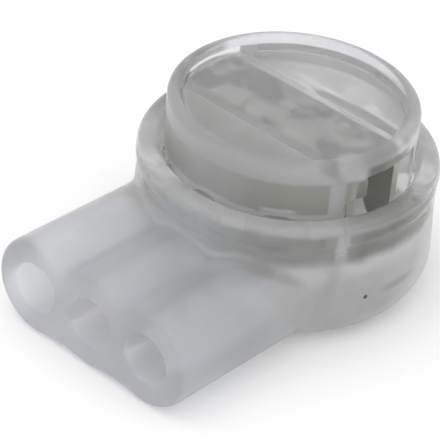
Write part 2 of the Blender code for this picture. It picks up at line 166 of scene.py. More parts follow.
class HousingSettings(bpy.types.PropertyGroup):
    """The cup with its three wire tubes."""
    tube_count: IntProperty(name="Tubes", description="Wire tubes side by side", default=3, min=1)
    tube_pitch: length("Tube pitch", "From one wire's axis to the next", 3.35)
    tube_wall: length("Tube wall", "Plastic round each wire", 1.25)
    tube_lift: length("Tube lift", "Height of the tubes above the base plane", 0.05)
    tube_end_rounding: length("Tube end rounding", "Rounding of the tubes' open ends", 0.32)
    tube_root_drop: length("Tube root drop", "Fall of the tubes' tops from mouth to cup", 0.25)
    top_groove_fillet: length("Top groove fillet", "Fillet between two tubes, above", 0.45)
    under_groove_fillet: length("Under groove fillet", "Fillet between two tubes, below", 6.0)
    wire_bore_radius: length("Wire bore radius", "Half the width of a wire's way", 1.1)
    mouth_flare: length("Mouth flare", "How much wider a mouth is than its bore", 0.12)
    mouth_depth: length("Mouth depth", "Length of a mouth's taper", 1.6)
    cup_floor: length("Cup floor", "Thickness of the cup's floor", 1.0)
    wall_draft: length("Wall draft", "How much wider the wall is at its foot", 0.22)
    base_rounding: length("Base rounding", "Rounding between wall and base", 1.8)
    collar_proud: length("Collar proud", "How far the collar stands out from the wall", 0.12)
    collar_height: length("Collar height", "Height of the collar", 0.9)
    collar_rounding: length("Collar rounding", "Rounding of the collar's top edge", 0.35)
    bore_lead_in: length("Bore lead-in", "Chamfer that guides the cap in", 0.18)
    bore_floor_fillet: length("Bore floor fillet", "Fillet round the cup's floor", 0.3)
    bed_lip: length("Bed lip", "Bed beside the outermost wires", 0.12)
    bed_below_axis: length("Bed below axis", "From the wires' axes down to the bed's top", 0.35)
    wire_end_gap: length("Wire end gap", "From a wire's end stop to the cup's bore", 0.7)
    slot_gap: length("Slot gap", "Room on each side of a contact leg in the bed", 0.15)
    guide_gap: length("Guide gap", "Room round a latch barb in its guide", 0.1)
    grain: length("Mesh grain", "Size of the finished mesh's faces", 0.13)


class CapSettings(bpy.types.PropertyGroup):
    """The press cap."""
    bore_gap: length("Bore gap", "From the cap's rim to the cup's bore", 0.1)
    draft: length("Draft", "How much narrower the skirt is at its foot", 0.05)
    edge_rounding: length("Edge rounding", "Rounding of the cap's top edge", 0.35)
    rim_width: length("Rim width", "Width of the ring round the sunk top", 0.65)
    recess_depth: length("Recess depth", "Depth of the sunk top", 0.3)
    recess_fillet: length("Recess fillet", "Fillet round the sunk top", 0.12)
    plate: length("Plate", "From the cap's top down to its underside", 1.0)
    skirt_wall: length("Skirt wall", "Thickness of the skirt", 0.62)
    skirt_height: length("Skirt height", "From the cap's top down to the skirt's foot", 3.8)
    window_width: length("Window width", "Width of the opening at each end of the contact", 4.4)
    rib_width: length("Rib width", "Width of the ribs that hold the contact", 0.5)
    rib_height: length("Rib height", "From the plate's underside to a rib's foot", 0.7)
    lip_reach: length("Lip reach", "How far a lip covers the contact's end", 0.6)
    lip_height: length("Lip height", "From the plate's underside to a lip's foot", 1.1)
    wire_arch_gap: length("Wire arch gap", "Room above a wire under its arch", 0.05)
    latch_width: length("Latch width", "Width of a latch leg", 0.7)
    barb_width: length("Barb width", "Width of a latch barb", 0.5)
    barb_height: length("Barb height", "Height of a latch barb", 0.6)
    barb_reach: length("Barb reach", "How far a barb stands out of the skirt", 0.3)
    latch_gap: length("Latch gap", "From the wire bed to a latch leg", 0.15)
    grain: length("Mesh grain", "Size of the finished mesh's faces", 0.09)


class ContactSettings(bpy.types.PropertyGroup):
    """The folded contact."""
    sheet: length("Sheet", "Thickness of the strip", 0.4)
    gap: length("Gap", "Room between the contact and the cap", 0.1)
    tint: colour("Tin", "Colour of the tinned sheet", 0.34, 0.34, 0.31)
    edge_break: length("Edge break", "Bevel on the contact's edges", 0.04)
    patch_dark: number("Patch dark", "Brightness of the dark patches, over the tint", 0.4)
    patch_light: number("Patch light", "Brightness between the dark patches, over the tint", 1.4)
    # Painted light: the contact's legs are painted lighter than its top.
    leg_light: number("Leg light", "Brightness of the legs, over the tint", 1.6)
    smooth: share("Smooth", "Roughness where the grain is smoothest", 0.4)
    rough: share("Rough", "Roughness where the grain is roughest", 0.55)
    grain: length("Grain", "Height of the grain", 0.004)


class GelSettings(bpy.types.PropertyGroup):
    """The sealing gel."""
    gap: length("Gap", "Room between the gel and the cup", 0.1)
    tint: colour("Gel", "Colour of the gel", 0.80, 0.81, 0.80)
    pressed: share("Pressed", "How much of the gel's height is left under the pressed cap", 0.05)
    ripple: length("Ripple", "Height of the waves on the gel", 0.02)
    grain: length("Mesh grain", "Size of the finished mesh's faces", 0.15)


class PlasticSettings(bpy.types.PropertyGroup):
    """The natural polypropylene of both mouldings."""
    cup_tint: colour("Cup tint", "Colour of the cup", 0.79, 0.79, 0.795)
    cup_clear: share("Cup clearness", "How much light passes the cup unscattered", 0.80)
    cap_tint: colour("Cap tint", "Colour of the cap", 0.74, 0.745, 0.755)
    cap_clear: share("Cap clearness", "How much light passes the cap unscattered", 0.85)
    tube_tint: colour("Tube tint", "Colour of the wire tubes' outer skin", 0.755, 0.765, 0.80)
    # Painted light: the cup's top edge, and the latch leg's band under it, are painted lighter than the cup.
    lit_edge_tint: colour("Edge tint", "Colour of the cup's thick edge", 0.86, 0.86, 0.87)
    # Painted light: the cap's rim, and the latch legs' bands in the skirt, are painted lighter than the cap.
    lit_rim_tint: colour("Rim tint", "Colour of the cap's thick rim", 0.82, 0.82, 0.85)
    # Painted shade: the cup's skin under its edge, and on the edge by the contact's ends, is painted darker,
    # standing in for shade there and the dark inside seen through the wall.
    shade_tint: colour("Shade tint", "Colour of the cup's skin with gel close behind it", 0.45, 0.45, 0.44)
    # Painted shade: the dark patch by the contact's ends, on the cup and on the cap's rim.
    contact_shade_tint: colour(
        "Contact shade tint", "Colour of the skin by the contact's ends", 0.26, 0.26, 0.23
    )
    # Painted shade: the olive band on the cap's skirt where the contact lies behind it.
    metal_shade_tint: colour(
        "Metal shade tint", "Colour of the cap's skirt with metal close behind it", 0.54, 0.54, 0.505
    )
    # Painted glints: the white of the streaks on the cap's skirt stands in for highlights.
    glint_tint: colour("Glint tint", "Colour of the wet streaks on the cap's skirt", 1.0, 1.0, 1.0)
    dark_mark_tint: colour("Smudge tint", "Colour of the smudge on the cup", 0.50, 0.50, 0.50)
    speck_tint: colour("Speck tint", "Colour of the dark speck on the cup", 0.05, 0.05, 0.04)
    # Painted light: the inner skin is painted near white, with smears, to light the bores and the cup's
    # inside.
    lit_smear_tint: colour("Smear tint", "Colour of the smears on gel-wetted skin", 0.90, 0.90, 0.895)
    lit_inner_tint: colour("Wet tint", "Colour of gel-wetted skin between the smears", 0.99, 0.99, 0.99)
    cloud_dark: number("Cloud dark", "Brightness of the darkest clouds, over the tint", 0.90)
    cloud_light: number("Cloud light", "Brightness of the lightest clouds, over the tint", 1.06)
    dry_ior: number("Dry IOR", "How strongly the outer skin bends light", 1.22)
    wet_ior: number("Wet IOR", "How strongly gel-wetted skin bends light", 1.04)
    dry_coat: share("Dry coat", "Gloss over the outer skin", 0.5)
    wall_roughness: share("Wall roughness", "Roughness of the cup's wall and tubes", 0.36)
    collar_roughness: share("Collar roughness", "Roughness of the cup's upper part", 0.24)
    skirt_roughness: share("Skirt roughness", "Roughness of the cap", 0.34)
    sunk_top_roughness: share("Sunk top roughness", "Roughness of the cap's sunk top", 0.12)
    ripple: length("Ripple", "Height of the waves on the plastic", 0.01)


class StudioSettings(bpy.types.PropertyGroup):
    """Floor, light and the camera, whose place is fitted to the photograph's outline of the part."""
    azimuth: bearing("Azimuth", "Camera's turn about the cup's axis", 39.46)
    elevation: bearing("Elevation", "Camera's height above the horizon", 34.998)
    roll: bearing("Roll", "Camera's tilt", 5.701)
    distance: length("Distance", "From the camera to the plane through the cup's axis", 119.28)
    aim_right: length("Aim right", "How far the picture's middle lies right of the origin", -2.8125)
    aim_up: length("Aim up", "How far the picture's middle lies above the origin", 1.4097)
    lens: number("Lens", "Focal length in millimetres", 206.864)
    floor_reach: length("Floor reach", "From the middle of the floor to its sides", 600.0)
    floor_seen: colour("Floor seen", "Colour of the floor to the camera", 0.97, 0.97, 0.97)
    floor_lit: colour("Floor lit", "Colour of the floor to the light", 0.88, 0.88, 0.88)
    sky: number("Sky", "Strength of the soft light", 0.95)
    sky_slope: share("Sky slope", "How far the soft light rises and falls about its strength", 0.35)
    sky_from: FloatVectorProperty(
        name="Sky from", description="Where the soft light is brightest",
        default=(0.3, -0.66, 0.69), subtype="DIRECTION",
    )
    key_place: FloatVectorProperty(
        name="Key place", description="Place of the softbox",
        default=(-0.16, -0.10, 0.30), subtype="TRANSLATION", unit="LENGTH",
    )
    key_width: length("Key width", "Width of the softbox", 400.0)
    key_power: number("Key power", "Power of the softbox in watts", 0.12)


SETTINGS = {
    "connector_housing": HousingSettings,
    "connector_cap": CapSettings,
    "connector_contact": ContactSettings,
    "connector_gel": GelSettings,
    "connector_plastic": PlasticSettings,
    "connector_studio": StudioSettings,
}


def arc(centre, radius, start, end, steps):
    """Points on a circle from angle start to angle end, in degrees."""
    points = []
    for i in range(steps + 1):
        angle = math.radians(start + (end - start) * i / steps)
        points.append((centre[0] + radius * math.cos(angle), centre[1] + radius * math.sin(angle)))
    return points


def linked(name, data):
    """A new object in the scene."""
    obj = bpy.data.objects.new(name, data)
    bpy.context.scene.collection.objects.link(obj)
    return obj


def turned(name, profile, steps=240):
    """Turns a profile of (radius, height) points about the object's Z axis."""
    mesh = bpy.data.meshes.new(name)
    mesh.from_pydata([(r, 0.0, z) for r, z in profile], [(i, i + 1) for i in range(len(profile) - 1)], [])
    obj = linked(name, mesh)
    screw = obj.modifiers.new("Turn", "SCREW")
    screw.steps = steps
    screw.render_steps = steps
    screw.use_merge_vertices = True
    screw.merge_threshold = WELD
    return obj


def plate(name, outline, thickness, rounding=0.0):
    """A flat outline in the object's XY plane, thickened about that plane, with rounded edges."""
    curve = bpy.data.curves.new(name, "CURVE")
    curve.dimensions = "2D"
    curve.fill_mode = "BOTH"
    curve.extrude = thickness / 2 - rounding
    curve.bevel_depth = rounding
    curve.bevel_resolution = 4
    curve.offset = -rounding
    spline = curve.splines.new("POLY")
    spline.points.add(len(outline) - 1)
    for point, (x, y) in zip(spline.points, outline):
        point.co = (x, y, 0.0, 1.0)
    spline.use_cyclic_u = True
    drawn = linked(name, curve)
    mesh = evaluated(drawn)
    bpy.data.objects.remove(drawn, do_unlink=True)
    shape = bmesh.new()
    shape.from_mesh(mesh)
    bmesh.ops.remove_doubles(shape, verts=shape.verts, dist=WELD)
    shape.to_mesh(mesh)
    shape.free()
    return linked(name, mesh)


def block(name, size, centre, turn=0.0):
    """A box cutter or rib of the given size about its centre, turned about Z."""
    mesh = bpy.data.meshes.new(name)
    shape = bmesh.new()
    bmesh.ops.create_cube(shape, size=1.0)
    bmesh.ops.scale(shape, vec=size, verts=shape.verts)
    shape.to_mesh(mesh)
    shape.free()
    obj = linked(name, mesh)
    obj.location = centre
    obj.rotation_euler = (0.0, 0.0, turn)
    return obj


def evaluated(obj):
    """The object's mesh with its modifiers applied."""
    bpy.context.view_layer.update()
    depsgraph = bpy.context.evaluated_depsgraph_get()
    return bpy.data.meshes.new_from_object(obj.evaluated_get(depsgraph))


def combine(obj, tool, operation):
    """Adds a Boolean to obj. The tool is removed when obj is finished."""
    tool.hide_render = True
    boolean = obj.modifiers.new(tool.name, "BOOLEAN")
    boolean.operation = operation
    boolean.solver = "EXACT"
    boolean.object = tool


def finished(obj, grain, passes):
    """Makes the mesh even, with soft edges as a moulding has, and removes the tools."""
    tools = [m.object for m in obj.modifiers if m.type == "BOOLEAN"]
    remesh = obj.modifiers.new("Even mesh", "REMESH")
    remesh.mode = "VOXEL"
    remesh.voxel_size = grain
    smooth = obj.modifiers.new("Soft edges", "SMOOTH")
    smooth.factor = 0.5
    smooth.iterations = passes
    mesh = evaluated(obj)
    mesh.shade_smooth()
    name = obj.name
    for old in [obj] + tools:
        bpy.data.objects.remove(old, do_unlink=True)
    made = linked(name, mesh)
    made.name = name
    return made


def settings(group):
    """One group of the scene's settings."""
    return getattr(bpy.context.scene, group)


class Sizes:
    """The sizes that several pieces share, worked out from the frame and the settings."""

    def __init__(self):
        h = settings("connector_housing")
        c = settings("connector_cap")
        self.cap_radius = CAP_HIGH.y
        self.skirt_radius = self.cap_radius - c.draft
        self.recess_radius = self.cap_radius - c.rim_width
        self.bore_radius = self.cap_radius + c.bore_gap
        self.foot_radius = HOUSING_HIGH.x
        self.wall_radius = self.foot_radius - h.wall_draft
        self.collar_radius = self.wall_radius + h.collar_proud
        self.cup_height = HOUSING_HIGH.z
        self.tube_end_y = HOUSING_LOW.y
        self.tube_radius = h.wire_bore_radius + h.tube_wall
        self.wire_axis = h.tube_lift + self.tube_radius
        middle = (h.tube_count - 1) / 2
        self.wires = [h.tube_pitch * (i - middle) for i in range(h.tube_count)]
        self.bed_top = self.wire_axis - h.bed_below_axis
        self.bed_half_width = self.wires[-1] + h.wire_bore_radius + h.bed_lip
        self.cap_top = CAP_HIGH.z
        self.underside = self.cap_top - c.plate
        self.root = self.underside + c.plate / 3  # ribs and posts run up into the plate as far as this
        self.latch_bottom = CAP_LOW.z
        self.leg_y = CONTACT_HIGH.y - settings("connector_contact").sheet / 2
        self.latch_x = self.bed_half_width + c.latch_gap
        self.window_edge = c.window_width / 2
        turn = math.asin((self.window_edge + c.latch_width / 2) / self.skirt_radius)
        self.latch_angles = [turn, -turn, math.pi + turn, math.pi - turn]
        self.barb_tip = self.skirt_radius + c.barb_reach


def cup_profile(size, h):
    """The cup's outside as a solid: over the top, down the collar and wall, round the base."""
    edge = (size.collar_radius - h.collar_rounding, size.cup_height - h.collar_rounding)
    foot = (size.foot_radius - h.base_rounding, h.base_rounding)
    collar_foot = size.cup_height - h.collar_height
    profile = [(0.0, size.cup_height)]
    profile += arc(edge, h.collar_rounding, 90, 0, steps=12)
    profile += [(size.collar_radius, collar_foot), (size.wall_radius, collar_foot - h.collar_proud)]
    profile += arc(foot, h.base_rounding, 0, -90, steps=24)
    profile += [(0.0, 0.0)]
    return profile


def bore_profile(size, h):
    """The cup's inside, with a lead-in for the cap and a fillet at the floor."""
    fillet = (size.bore_radius - h.bore_floor_fillet, h.cup_floor + h.bore_floor_fillet)
    mouth = size.bore_radius + h.bore_lead_in
    top = size.cup_height + CUT_PAST
    profile = [(0.0, top), (mouth, top), (mouth, size.cup_height)]
    profile += [(size.bore_radius, size.cup_height - h.bore_lead_in)]
    profile += arc(fillet, h.bore_floor_fillet, 0, -90, steps=8)
    profile += [(0.0, h.cup_floor)]
    return profile


def groove_angle(size, h, radius):
    """Half the angle, in degrees, that a fillet of this radius takes up between two tubes."""
    return math.degrees(math.asin(h.tube_pitch / 2 / (size.tube_radius + radius)))


def groove(size, h, x, radius, side):
    """The fillet between two tubes, above (side 1) or below (side -1) the wires' axes, without its ends."""
    height = math.sqrt((size.tube_radius + radius) ** 2 - (h.tube_pitch / 2) ** 2)
    half = groove_angle(size, h, radius)
    middle = (x, size.wire_axis + side * height)
    return arc(middle, radius, -side * 90 + half, -side * 90 - half, steps=8)[1:-1]


def tube_outline(size, h):
    """The tubes seen from their open end as one outline: up the right side, back along the underside."""
    def tube_arc(x, start, end, steps):
        return arc((x, size.wire_axis), size.tube_radius, start, end, steps)

    grooves = [x + h.tube_pitch / 2 for x in size.wires[:-1]]
    above = groove_angle(size, h, h.top_groove_fillet)
    below = groove_angle(size, h, h.under_groove_fillet)
    outline = tube_arc(size.wires[-1], -90 - below, 90 + above, steps=48)
    for i in range(len(grooves) - 1, -1, -1):
        outline += groove(size, h, grooves[i], h.top_groove_fillet, 1)
        if i > 0:
            outline += tube_arc(size.wires[i], 90 - above, 90 + above, steps=16)
    outline += tube_arc(size.wires[0], 90 - above, 270 + below, steps=48)
    for i, x in enumerate(grooves):
        outline += groove(size, h, x, h.under_groove_fillet, -1)
        if i + 1 < len(grooves):
            outline += tube_arc(size.wires[i + 1], -90 - below, -90 + below, steps=8)
    return outline


def tube_block(size, h):
    """The tubes run from their open ends into the cup's wall, where they are a little lower."""
    half_width = size.wires[-1] + size.tube_radius
    inner_y = -math.sqrt(size.wall_radius ** 2 - half_width ** 2)
    reach = inner_y - size.tube_end_y
    tubes = plate("tube_block", tube_outline(size, h), reach, h.tube_end_rounding)
    root_height = 1 - h.tube_root_drop / (2 * size.tube_radius)
    for vert in tubes.data.vertices:
        if vert.co.z < 0.0:
            vert.co.y = h.tube_lift + (vert.co.y - h.tube_lift) * root_height
    tubes.rotation_euler = (math.pi / 2, 0.0, 0.0)
    tubes.location = (0.0, size.tube_end_y + reach / 2, 0.0)
    return tubes


def chord_disc(radius, half_width):
    """A disc's outline with its two sides cut off at x = +-half_width."""
    start = math.degrees(math.acos(half_width / radius))
    far = arc((0, 0), radius, start, 180 - start, steps=40)
    return far + arc((0, 0), radius, 180 + start, 360 - start, steps=40)


def wire_bore(size, h, x):
    """A wire's way from the tube's flared mouth to its end stop past the contact."""
    end = size.bore_radius - h.wire_end_gap
    far_y = math.sqrt(end ** 2 - x ** 2)
    reach = far_y - size.tube_end_y
    mouth = h.wire_bore_radius + h.mouth_flare
    profile = [(0.0, reach + CUT_PAST), (mouth, reach + CUT_PAST), (mouth, reach)]
    profile += [(h.wire_bore_radius, reach - h.mouth_depth), (h.wire_bore_radius, 0.0), (0.0, 0.0)]
    bore = turned("wire_bore", profile, steps=72)
    bore.rotation_euler = (math.pi / 2, 0.0, 0.0)
    bore.location = (x, far_y, size.wire_axis)
    return bore


def radial_block(name, inner, outer, width, bottom, top, angle):
    """A box that reaches from one radius to another along a direction about the cup's axis."""
    middle = (inner + outer) / 2
    centre = (middle * math.cos(angle), middle * math.sin(angle), (bottom + top) / 2)
    return block(name, (outer - inner, width, top - bottom), centre, angle)


def build_housing():
    """The cup with its tubes, wire bed, wires' ways, contact slots and latch guides."""
    h = settings("connector_housing")
    c = settings("connector_cap")
    size = Sizes()
    housing = turned("housing_moulding", cup_profile(size, h))
    combine(housing, tube_block(size, h), "UNION")
    combine(housing, turned("cup_bore", bore_profile(size, h)), "DIFFERENCE")

    wall_middle = (size.bore_radius + size.wall_radius) / 2
    bed_height = size.bed_top - h.cup_floor / 2
    bed = plate("wire_bed", chord_disc(wall_middle, size.bed_half_width), bed_height)
    bed.location.z = h.cup_floor / 2 + bed_height / 2
    combine(housing, bed, "UNION")
    for x in size.wires:
        combine(housing, wire_bore(size, h, x), "DIFFERENCE")

    slot_width = settings("connector_contact").sheet + 2 * h.slot_gap
    slot_height = size.bed_top + CUT_PAST - h.cup_floor
    for side in (-1, 1):
        slot_size = (2 * size.bed_half_width + CUT_PAST, slot_width, slot_height)
        slot_centre = (0.0, side * size.leg_y, h.cup_floor + slot_height / 2)
        combine(housing, block("contact_slot", slot_size, slot_centre), "DIFFERENCE")

    low = size.latch_bottom - CAP_TRAVEL - h.guide_gap
    high = size.latch_bottom + c.barb_height + h.guide_gap
    for angle in size.latch_angles:
        guide = radial_block(
            "latch_guide", size.bore_radius - c.barb_reach, size.barb_tip + h.guide_gap,
            c.barb_width + 2 * h.guide_gap, low, high, angle,
        )
        combine(housing, guide, "DIFFERENCE")
    housing = finished(housing, h.grain, passes=4)

    def is_inner(co):
        way = min(math.hypot(co.x - x, co.z - size.wire_axis) for x in size.wires)
        in_cup = math.hypot(co.x, co.y) < size.bore_radius + h.bore_lead_in / 2 and co.z > h.cup_floor / 2
        return in_cup or way < h.wire_bore_radius + h.mouth_flare

    mark_inner(housing, is_inner)
    return housing


def cap_profile(size, c):
    """The cap's sunk top, rounded edge, skirt and plate, as one turned section."""
    edge = (size.cap_radius - c.edge_rounding, size.cap_top - c.edge_rounding)
    sunk = size.cap_top - c.recess_depth
    recess_foot = (size.recess_radius - c.recess_fillet, sunk + c.recess_fillet)
    skirt_foot = size.cap_top - c.skirt_height
    profile = [(0.0, sunk)]
    profile += arc(recess_foot, c.recess_fillet, -90, 0, steps=6)
    profile += [(size.recess_radius + c.recess_fillet / 2, size.cap_top)]
    profile += arc(edge, c.edge_rounding, 90, 0, steps=12)
    profile += [(size.skirt_radius, skirt_foot), (size.skirt_radius - c.skirt_wall, skirt_foot)]
    profile += [(size.skirt_radius - c.skirt_wall, size.underside), (0.0, size.underside)]
    return profile


def window_post(size, side, inner_x, first, last, bottom):
    """A post that hangs from the plate at a window, flush with the skirt and flat on its inner side."""
    start = math.degrees(math.asin(first / size.skirt_radius))
    end = math.degrees(math.asin(last / size.skirt_radius))
    outline = [(inner_x, last), (inner_x, first)] + arc((0, 0), size.skirt_radius, start, end, steps=6)
    outline = [(side * x, y) for x, y in outline]
    post = plate("window_post", outline, size.root - bottom)
    post.location.z = (size.root + bottom) / 2
    return post


def latch_barb(size, c, angle):
    """The wedge on a leg's foot that catches the top of its guide in the cup."""
    inner = size.skirt_radius - c.skirt_wall / 2
    toe = size.latch_bottom + c.barb_height / 8
    ramp_top = size.latch_bottom + c.barb_height * 3 / 4
    top = size.latch_bottom + c.barb_height
    outline = [
        (inner, toe), (size.skirt_radius, toe), (size.barb_tip, ramp_top), (size.barb_tip, top), (inner, top),
    ]
    barb = plate("latch_barb", outline, c.barb_width)
    barb.rotation_euler = (math.pi / 2, 0.0, angle)
    return barb


def build_cap():
    """The cap with its windows, pocket ribs, latch legs, lips, barbs and wire arches."""
    c = settings("connector_cap")
    contact = settings("connector_contact")
    size = Sizes()
    cap = turned("cap_moulding", cap_profile(size, c))
    skirt_inner = size.skirt_radius - c.skirt_wall
    skirt_foot = size.cap_top - c.skirt_height
    for angle in (0.0, math.pi):
        window = radial_block(
            "window", skirt_inner - CUT_PAST, size.cap_radius + CUT_PAST, c.window_width,
            skirt_foot - CUT_PAST, size.underside, angle,
        )
        combine(cap, window, "DIFFERENCE")

    pocket_y = CONTACT_HIGH.y + contact.gap
    reach = math.sqrt((skirt_inner + c.skirt_wall / 2) ** 2 - (pocket_y + c.rib_width) ** 2)
    rib_foot = size.underside - c.rib_height
    rib_height = size.root - rib_foot
    rib_middle = rib_foot + rib_height / 2
    for side in (-1, 1):
        centre = (0.0, side * (pocket_y + c.rib_width / 2), rib_middle)
        combine(cap, block("pocket_rib", (2 * reach, c.rib_width, rib_height), centre), "UNION")

    leg_ends = (size.window_edge, size.window_edge + c.latch_width)
    lip_ends = (-size.window_edge - c.latch_width / 2, c.lip_reach - pocket_y)
    lip_x = CONTACT_HIGH.x + contact.gap
    for side in (-1, 1):
        for end in (-1, 1):
            first, last = (end * y for y in leg_ends)
            leg = window_post(size, side, size.latch_x, first, last, size.latch_bottom)
            combine(cap, leg, "UNION")
        lip = window_post(size, side, lip_x, *lip_ends, size.underside - c.lip_height)
        combine(cap, lip, "UNION")
    for angle in size.latch_angles:
        combine(cap, latch_barb(size, c, angle), "UNION")

    arch_radius = settings("connector_housing").wire_bore_radius + c.wire_arch_gap
    arch_length = 2 * (size.cap_radius + CUT_PAST)
    for x in size.wires:
        profile = [(0.0, arch_length), (arch_radius, arch_length), (arch_radius, 0.0), (0.0, 0.0)]
        arch = turned("wire_arch", profile, steps=72)
        arch.rotation_euler = (math.pi / 2, 0.0, 0.0)
        arch.location = (x, arch_length / 2, size.wire_axis + CAP_TRAVEL)
        combine(cap, arch, "DIFFERENCE")
    cap = finished(cap, c.grain, passes=3)

    def is_inner(co):
        under = co.z < size.underside + c.grain and math.hypot(co.x, co.y) < size.skirt_radius - c.grain
        return under or co.z < size.cup_height

    mark_inner(cap, is_inner)
    return cap


def build_gel():
    """The gel in the cup, up to the latch legs and round the wire bed."""
    h = settings("connector_housing")
    g = settings("connector_gel")
    size = Sizes()
    radius = size.bore_radius - g.gap
    fillet = (radius - h.bore_floor_fillet, GEL_LOW.z + h.bore_floor_fillet)
    profile = [(0.0, GEL_HIGH.z), (radius, GEL_HIGH.z)]
    profile += arc(fillet, h.bore_floor_fillet, 0, -90, steps=8)
    profile += [(0.0, GEL_LOW.z)]
    gel = turned("gel_filling", profile)
    over_bed = chord_disc(size.bore_radius + CUT_PAST, size.bed_half_width + g.gap)
    combine(gel, plate("gel_over_bed", over_bed, 2 * (size.bed_top + g.gap)), "DIFFERENCE")
    return finished(gel, g.grain, passes=3)


def mark_inner(obj, is_inner):
    """Marks the inner skin, the cup's inside that the gel wets and the wires' ways, which the plastic's
    material shows clearer and paints near white as painted light.
    """
    marks = obj.data.attributes.new("inner", "FLOAT", "POINT")
    for vert, mark in zip(obj.data.vertices, marks.data):
        mark.value = float(is_inner(vert.co))


def socket(node, name):
    """The input of this name that is in use, where a node has several of one name."""
    return next(item for item in node.inputs if item.name == name and item.enabled)


def base_material(name, tint, roughness):
    """A new material, its node tree and its shader."""
    mat = bpy.data.materials.new(name)
    mat.use_nodes = True
    shader = mat.node_tree.nodes["Principled BSDF"]
    shader.inputs["Base Color"].default_value = (*tint, 1.0)
    shader.inputs["Roughness"].default_value = roughness
    return mat, mat.node_tree, shader


def place_on(tree):
    """Each point's place in the part's frame."""
    return tree.nodes.new("ShaderNodeTexCoord").outputs["Object"]


def noise_field(tree, scale, detail, stretch=(1.0, 1.0, 1.0)):
    """Noise in the part's frame, with scale in lumps per millimetre."""
    mapping = tree.nodes.new("ShaderNodeMapping")
    mapping.inputs["Scale"].default_value = [axis * scale / MM for axis in stretch]
    field = tree.nodes.new("ShaderNodeTexNoise")
    field.inputs["Scale"].default_value = 1.0
    field.inputs["Detail"].default_value = detail
    tree.links.new(place_on(tree), mapping.inputs["Vector"])
    tree.links.new(mapping.outputs["Vector"], field.inputs["Vector"])
    return field.outputs["Fac"]


def spread(tree, field, low, high, start=0.0, end=1.0):
    """A value from low to high as the field goes from start to end, and level beyond them."""
    between = tree.nodes.new("ShaderNodeMapRange")
    between.inputs["From Min"].default_value = start
    between.inputs["From Max"].default_value = end
    between.inputs["To Min"].default_value = low
    between.inputs["To Max"].default_value = high
    tree.links.new(field, between.inputs["Value"])
    return between.outputs["Result"]


def cloudy(tree, scale, detail, low=0.0, high=1.0):
    """Soft lumps, as a value from low to high."""
    return spread(tree, noise_field(tree, scale, detail), low, high, *NOISE_RANGE)


def worked_out(tree, operation, one, other):
    """Two values joined by one step of arithmetic."""
    step = tree.nodes.new("ShaderNodeMath")
    step.operation = operation
    tree.links.new(one, step.inputs[0])
    tree.links.new(other, step.inputs[1])
    return step.outputs["Value"]


def vector_step(tree, operation, vector, other=None):
    """The outputs of one step of vector arithmetic."""
    step = tree.nodes.new("ShaderNodeVectorMath")
    step.operation = operation
    tree.links.new(vector, step.inputs[0])
    if other is not None:
        step.inputs[1].default_value = other
    return step.outputs


def product(tree, one, other):
    """Two shares multiplied."""
    return worked_out(tree, "MULTIPLY", one, other)


def rest_of(tree, amount):
    """What a share leaves of 1."""
    return spread(tree, amount, 1.0, 0.0)


def shaded(tint, factor):
    """A tint made darker or lighter."""
    return [min(1.0, channel * factor) for channel in tint]


def mixed(tree, amount, one, other):
    """A colour that goes from one to the other with the amount. Each is a tint or comes from a node."""
    mix = tree.nodes.new("ShaderNodeMix")
    mix.data_type = "RGBA"
    tree.links.new(amount, socket(mix, "Factor"))
    for name, given in (("A", one), ("B", other)):
        if isinstance(given, bpy.types.NodeSocket):
            tree.links.new(given, socket(mix, name))
        else:
            socket(mix, name).default_value = (*given, 1.0)
    return mix.outputs[COLOUR_RESULT]


def bumped(tree, shader, field, height):
    """Waves of the given height on the surface."""
    bump = tree.nodes.new("ShaderNodeBump")
    bump.inputs["Strength"].default_value = 1.0
    bump.inputs["Distance"].default_value = height
    tree.links.new(field, bump.inputs["Height"])
    tree.links.new(bump.outputs["Normal"], shader.inputs["Normal"])


def inner_share(tree):
    """The share of the inner skin, gel-wetted and painted lighter, from 0 to 1."""
    mark = tree.nodes.new("ShaderNodeAttribute")
    mark.attribute_name = "inner"
    return mark.outputs["Fac"]


def along(tree, axis, fade, low=0.0, high=1.0, wave=0.0):
    """A value from low to high over a fade along one axis, which a slow wave shifts to and fro."""
    parts = tree.nodes.new("ShaderNodeSeparateXYZ")
    tree.links.new(place_on(tree), parts.inputs["Vector"])
    shift = cloudy(tree, scale=0.5, detail=3.0, low=-wave, high=wave)
    return spread(tree, worked_out(tree, "ADD", parts.outputs[axis], shift), low, high, *fade)


def towards(tree, sector, mirrored=True):
    """The share of the directions from the cup's axis in a sector, mirrored to all four quarters or not."""
    turn, half_width, blur = (math.radians(degrees) for degrees in sector)
    flat = vector_step(tree, "MULTIPLY", place_on(tree), FLAT)["Vector"]
    direction = vector_step(tree, "NORMALIZE", flat)["Vector"]
    if mirrored:
        direction = vector_step(tree, "ABSOLUTE", direction)["Vector"]
    middle = (math.cos(turn), math.sin(turn), 0.0)
    aligned = vector_step(tree, "DOT_PRODUCT", direction, middle)["Value"]
    outside = math.cos(half_width + blur / 2)
    inside = math.cos(max(0.0, half_width - blur / 2))
    return spread(tree, aligned, 0.0, 1.0, outside, inside)


def near(tree, centre, reach, blur, squeeze=(1.0, 1.0, 1.0)):
    """The share of the places within reach of a point, with the distance squeezed along each axis."""
    offset = vector_step(tree, "SUBTRACT", place_on(tree), centre)["Vector"]
    squeezed = vector_step(tree, "MULTIPLY", offset, squeeze)["Vector"]
    distance = vector_step(tree, "LENGTH", squeezed)["Value"]
    return spread(tree, distance, 1.0, 0.0, reach - blur / 2, reach + blur / 2)


def near_axis(tree, radius, blur):
    """The share of the places within a radius of the cup's axis."""
    return near(tree, (0.0, 0.0, 0.0), radius, blur, FLAT)


